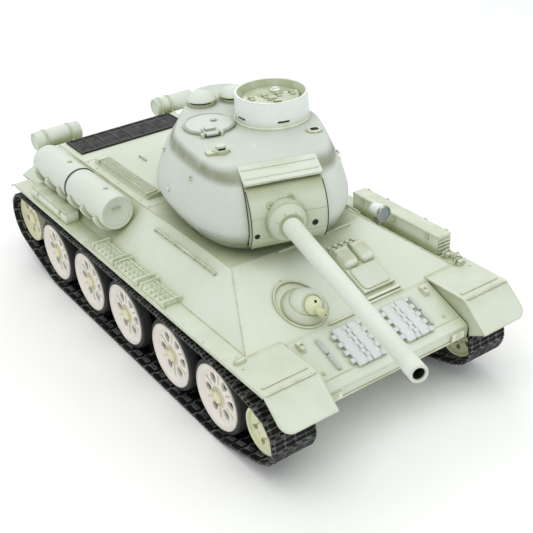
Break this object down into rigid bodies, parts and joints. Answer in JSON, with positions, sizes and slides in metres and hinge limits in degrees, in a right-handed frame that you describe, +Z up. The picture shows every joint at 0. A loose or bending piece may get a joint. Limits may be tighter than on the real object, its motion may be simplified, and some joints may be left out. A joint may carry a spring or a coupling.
{
  "type": "radio controlled tank",
  "caption": "Scale radio-controlled tank with a turning turret, raising gun, opening hatches, sprung road wheels and linked tracks, in worn winter white.",
  "frame": {"origin": "ground level under the centre of the whole model's box with the gun at rest", "axes": "+Z up, front of the hull towards -Y, the tank's left side towards +X"},
  "size_m": [0.187, 0.4575, 0.1678],
  "materials": {
    "battery": "shrink wrap",
    "black_plastic": "moulded",
    "board": "circuit board",
    "gear_plastic": "nylon",
    "hull_plastic": "matt moulded plastic, painted off-white",
    "lens": "clear lens",
    "mesh_black": "black woven wire",
    "steel": "machined",
    "track_metal": "blackened links worn bright on the edges",
    "wheel_plastic": "matt cream rims"
  },
  "bodies": {
    "hull": {"lower_hull": "hull_plastic", "upper_hull": "hull_plastic", "fenders": "hull_plastic", "battery_door": "black_plastic", "screws": "steel", "engine_deck": "hull_plastic", "mesh_screen": "mesh_black", "fuel_drums": "hull_plastic", "drum_brackets": "hull_plastic", "smoke_canisters": "hull_plastic", "stowage_boxes": "hull_plastic", "cleat_racks": "hull_plastic", "spare_links": "hull_plastic", "hull_fittings": "hull_plastic", "headlamp": "hull_plastic", "headlamp_lens": "lens", "bow_gun_mount": "hull_plastic", "gearboxes": "black_plastic", "drive_motors": "steel", "battery_pack": "battery", "control_board": "board", "speaker": "black_plastic", "track_left": "track_metal", "track_right": "track_metal"},
    "turret": {"turret_shell": "hull_plastic", "ring_gear": "gear_plastic", "cupola": "hull_plastic", "turret_fittings": "hull_plastic"},
    "gun": {"mantlet": "hull_plastic", "gun_barrel": "hull_plastic"},
    "bow_gun": {"bow_gun": "hull_plastic"},
    "driver_hatch": {"driver_hatch": "hull_plastic"},
    "cupola_hatch": {"cupola_hatch": "hull_plastic"},
    "loader_hatch": {"loader_hatch": "hull_plastic"},
    "power_switch": {"power_switch": "black_plastic"},
    "traverse_pinion": {"traverse_pinion": "gear_plastic"},
    "sprocket_left": {"sprocket_left": "wheel_plastic"},
    "idler_left": {"idler_left": "wheel_plastic"},
    "swing_arm_left_1": {"swing_arm_left_1": "steel"},
    "road_wheel_left_1": {"road_wheel_left_1": "wheel_plastic"},
    "swing_arm_left_2": {"swing_arm_left_2": "steel"},
    "road_wheel_left_2": {"road_wheel_left_2": "wheel_plastic"},
    "swing_arm_left_3": {"swing_arm_left_3": "steel"},
    "road_wheel_left_3": {"road_wheel_left_3": "wheel_plastic"},
    "swing_arm_left_4": {"swing_arm_left_4": "steel"},
    "road_wheel_left_4": {"road_wheel_left_4": "wheel_plastic"},
    "swing_arm_left_5": {"swing_arm_left_5": "steel"},
    "road_wheel_left_5": {"road_wheel_left_5": "wheel_plastic"},
    "sprocket_right": {"sprocket_right": "wheel_plastic"},
    "idler_right": {"idler_right": "wheel_plastic"},
    "swing_arm_right_1": {"swing_arm_right_1": "steel"},
    "road_wheel_right_1": {"road_wheel_right_1": "wheel_plastic"},
    "swing_arm_right_2": {"swing_arm_right_2": "steel"},
    "road_wheel_right_2": {"road_wheel_right_2": "wheel_plastic"},
    "swing_arm_right_3": {"swing_arm_right_3": "steel"},
    "road_wheel_right_3": {"road_wheel_right_3": "wheel_plastic"},
    "swing_arm_right_4": {"swing_arm_right_4": "steel"},
    "road_wheel_right_4": {"road_wheel_right_4": "wheel_plastic"},
    "swing_arm_right_5": {"swing_arm_right_5": "steel"},
    "road_wheel_right_5": {"road_wheel_right_5": "wheel_plastic"}
  },
  "joints": [
    {"name": "turret_traverse", "type": "hinge", "parent": "hull", "child": "turret", "pos_m": [0, 0.008, 0.0938], "axis": [0, 0, 1], "continuous": true},
    {"name": "pinion_spin", "type": "hinge", "parent": "hull", "child": "traverse_pinion", "pos_m": [0, 0.038, 0.086], "axis": [0, 0, 1], "continuous": true},
    {"name": "gun_elevation", "type": "hinge", "parent": "turret", "child": "gun", "pos_m": [-0.01228, -0.03216, 0.1191], "axis": [-0.9563, 0.2924, 0], "range_deg": [-5.5, 11.5]},
    {"name": "cupola_lid", "type": "hinge", "parent": "turret", "child": "cupola_hatch", "pos_m": [0.02917, 0.02439, 0.1649], "axis": [-0.9563, 0.2924, 0], "range_deg": [0, 95]},
    {"name": "loader_lid", "type": "hinge", "parent": "turret", "child": "loader_hatch", "pos_m": [-0.02054, 0.02087, 0.1519], "axis": [0.9563, -0.2924, 0], "range_deg": [0, 95]},
    {"name": "driver_lid", "type": "hinge", "parent": "hull", "child": "driver_hatch", "pos_m": [0.0233, -0.05882, 0.08853], "axis": [-1, 0, 0], "range_deg": [0, 60]},
    {"name": "bow_gun_swing", "type": "hinge", "parent": "hull", "child": "bow_gun", "pos_m": [-0.028, -0.09069, 0.08032], "axis": [0, 0, 1], "range_deg": [-9, 9]},
    {"name": "power_slide", "type": "slide", "parent": "hull", "child": "power_switch", "axis": [0, 1, 0], "range_m": [0, 0.0045]},
    {"name": "sprocket_left_spin", "type": "hinge", "parent": "hull", "child": "sprocket_left", "pos_m": [0.0765, 0.2035, 0.038], "axis": [1, 0, 0], "continuous": true, "deforming": ["track_left"]},
    {"name": "idler_left_spin", "type": "hinge", "parent": "hull", "child": "idler_left", "pos_m": [0.0765, -0.118, 0.0325], "axis": [1, 0, 0], "continuous": true},
    {"name": "swing_arm_left_1_lift", "type": "hinge", "parent": "hull", "child": "swing_arm_left_1", "pos_m": [0.0575, -0.0902, 0.03405], "axis": [1, 0, 0], "range_deg": [0, 6], "stiffness_Nm_per_rad": 0.3, "springref_deg": -8.59},
    {"name": "road_wheel_left_1_spin", "type": "hinge", "parent": "swing_arm_left_1", "child": "road_wheel_left_1", "pos_m": [0.0765, -0.0722, 0.02885], "axis": [1, 0, 0], "continuous": true},
    {"name": "swing_arm_left_2_lift", "type": "hinge", "parent": "hull", "child": "swing_arm_left_2", "pos_m": [0.0575, -0.0353, 0.03405], "axis": [1, 0, 0], "range_deg": [0, 6], "stiffness_Nm_per_rad": 0.3, "springref_deg": -8.59},
    {"name": "road_wheel_left_2_spin", "type": "hinge", "parent": "swing_arm_left_2", "child": "road_wheel_left_2", "pos_m": [0.0765, -0.0173, 0.02885], "axis": [1, 0, 0], "continuous": true},
    {"name": "swing_arm_left_3_lift", "type": "hinge", "parent": "hull", "child": "swing_arm_left_3", "pos_m": [0.0575, 0.026, 0.03405], "axis": [1, 0, 0], "range_deg": [0, 6], "stiffness_Nm_per_rad": 0.3, "springref_deg": -8.59},
    {"name": "road_wheel_left_3_spin", "type": "hinge", "parent": "swing_arm_left_3", "child": "road_wheel_left_3", "pos_m": [0.0765, 0.044, 0.02885], "axis": [1, 0, 0], "continuous": true},
    {"name": "swing_arm_left_4_lift", "type": "hinge", "parent": "hull", "child": "swing_arm_left_4", "pos_m": [0.0575, 0.081, 0.03405], "axis": [1, 0, 0], "range_deg": [0, 6], "stiffness_Nm_per_rad": 0.3, "springref_deg": -8.59},
    {"name": "road_wheel_left_4_spin", "type": "hinge", "parent": "swing_arm_left_4", "child": "road_wheel_left_4", "pos_m": [0.0765, 0.099, 0.02885], "axis": [1, 0, 0], "continuous": true},
    {"name": "swing_arm_left_5_lift", "type": "hinge", "parent": "hull", "child": "swing_arm_left_5", "pos_m": [0.0575, 0.1372, 0.03405], "axis": [1, 0, 0], "range_deg": [0, 6], "stiffness_Nm_per_rad": 0.3, "springref_deg": -8.59},
    {"name": "road_wheel_left_5_spin", "type": "hinge", "parent": "swing_arm_left_5", "child": "road_wheel_left_5", "pos_m": [0.0765, 0.1552, 0.02885], "axis": [1, 0, 0], "continuous": true},
    {"name": "sprocket_right_spin", "type": "hinge", "parent": "hull", "child": "sprocket_right", "pos_m": [-0.0765, 0.2035, 0.038], "axis": [1, 0, 0], "continuous": true, "deforming": ["track_right"]},
    {"name": "idler_right_spin", "type": "hinge", "parent": "hull", "child": "idler_right", "pos_m": [-0.0765, -0.118, 0.0325], "axis": [1, 0, 0], "continuous": true},
    {"name": "swing_arm_right_1_lift", "type": "hinge", "parent": "hull", "child": "swing_arm_right_1", "pos_m": [-0.0575, -0.0902, 0.03405], "axis": [1, 0, 0], "range_deg": [0, 6], "stiffness_Nm_per_rad": 0.3, "springref_deg": -8.59},
    {"name": "road_wheel_right_1_spin", "type": "hinge", "parent": "swing_arm_right_1", "child": "road_wheel_right_1", "pos_m": [-0.0765, -0.0722, 0.02885], "axis": [1, 0, 0], "continuous": true},
    {"name": "swing_arm_right_2_lift", "type": "hinge", "parent": "hull", "child": "swing_arm_right_2", "pos_m": [-0.0575, -0.0353, 0.03405], "axis": [1, 0, 0], "range_deg": [0, 6], "stiffness_Nm_per_rad": 0.3, "springref_deg": -8.59},
    {"name": "road_wheel_right_2_spin", "type": "hinge", "parent": "swing_arm_right_2", "child": "road_wheel_right_2", "pos_m": [-0.0765, -0.0173, 0.02885], "axis": [1, 0, 0], "continuous": true},
    {"name": "swing_arm_right_3_lift", "type": "hinge", "parent": "hull", "child": "swing_arm_right_3", "pos_m": [-0.0575, 0.026, 0.03405], "axis": [1, 0, 0], "range_deg": [0, 6], "stiffness_Nm_per_rad": 0.3, "springref_deg": -8.59},
    {"name": "road_wheel_right_3_spin", "type": "hinge", "parent": "swing_arm_right_3", "child": "road_wheel_right_3", "pos_m": [-0.0765, 0.044, 0.02885], "axis": [1, 0, 0], "continuous": true},
    {"name": "swing_arm_right_4_lift", "type": "hinge", "parent": "hull", "child": "swing_arm_right_4", "pos_m": [-0.0575, 0.081, 0.03405], "axis": [1, 0, 0], "range_deg": [0, 6], "stiffness_Nm_per_rad": 0.3, "springref_deg": -8.59},
    {"name": "road_wheel_right_4_spin", "type": "hinge", "parent": "swing_arm_right_4", "child": "road_wheel_right_4", "pos_m": [-0.0765, 0.099, 0.02885], "axis": [1, 0, 0], "continuous": true},
    {"name": "swing_arm_right_5_lift", "type": "hinge", "parent": "hull", "child": "swing_arm_right_5", "pos_m": [-0.0575, 0.1372, 0.03405], "axis": [1, 0, 0], "range_deg": [0, 6], "stiffness_Nm_per_rad": 0.3, "springref_deg": -8.59},
    {"name": "road_wheel_right_5_spin", "type": "hinge", "parent": "swing_arm_right_5", "child": "road_wheel_right_5", "pos_m": [-0.0765, 0.1552, 0.02885], "axis": [1, 0, 0], "continuous": true}
  ],
  "couplings": [
    {"joint": "pinion_spin", "follows": "turret_traverse", "ratio": 4.3333},
    {"joint": "idler_left_spin", "follows": "sprocket_left_spin", "ratio": 1.1709},
    {"joint": "road_wheel_left_1_spin", "follows": "sprocket_left_spin", "ratio": 0.81873},
    {"joint": "road_wheel_left_2_spin", "follows": "sprocket_left_spin", "ratio": 0.81873},
    {"joint": "road_wheel_left_3_spin", "follows": "sprocket_left_spin", "ratio": 0.81873},
    {"joint": "road_wheel_left_4_spin", "follows": "sprocket_left_spin", "ratio": 0.81873},
    {"joint": "road_wheel_left_5_spin", "follows": "sprocket_left_spin", "ratio": 0.81873},
    {"joint": "idler_right_spin", "follows": "sprocket_right_spin", "ratio": 1.1709},
    {"joint": "road_wheel_right_1_spin", "follows": "sprocket_right_spin", "ratio": 0.81873},
    {"joint": "road_wheel_right_2_spin", "follows": "sprocket_right_spin", "ratio": 0.81873},
    {"joint": "road_wheel_right_3_spin", "follows": "sprocket_right_spin", "ratio": 0.81873},
    {"joint": "road_wheel_right_4_spin", "follows": "sprocket_right_spin", "ratio": 0.81873},
    {"joint": "road_wheel_right_5_spin", "follows": "sprocket_right_spin", "ratio": 0.81873}
  ]
}
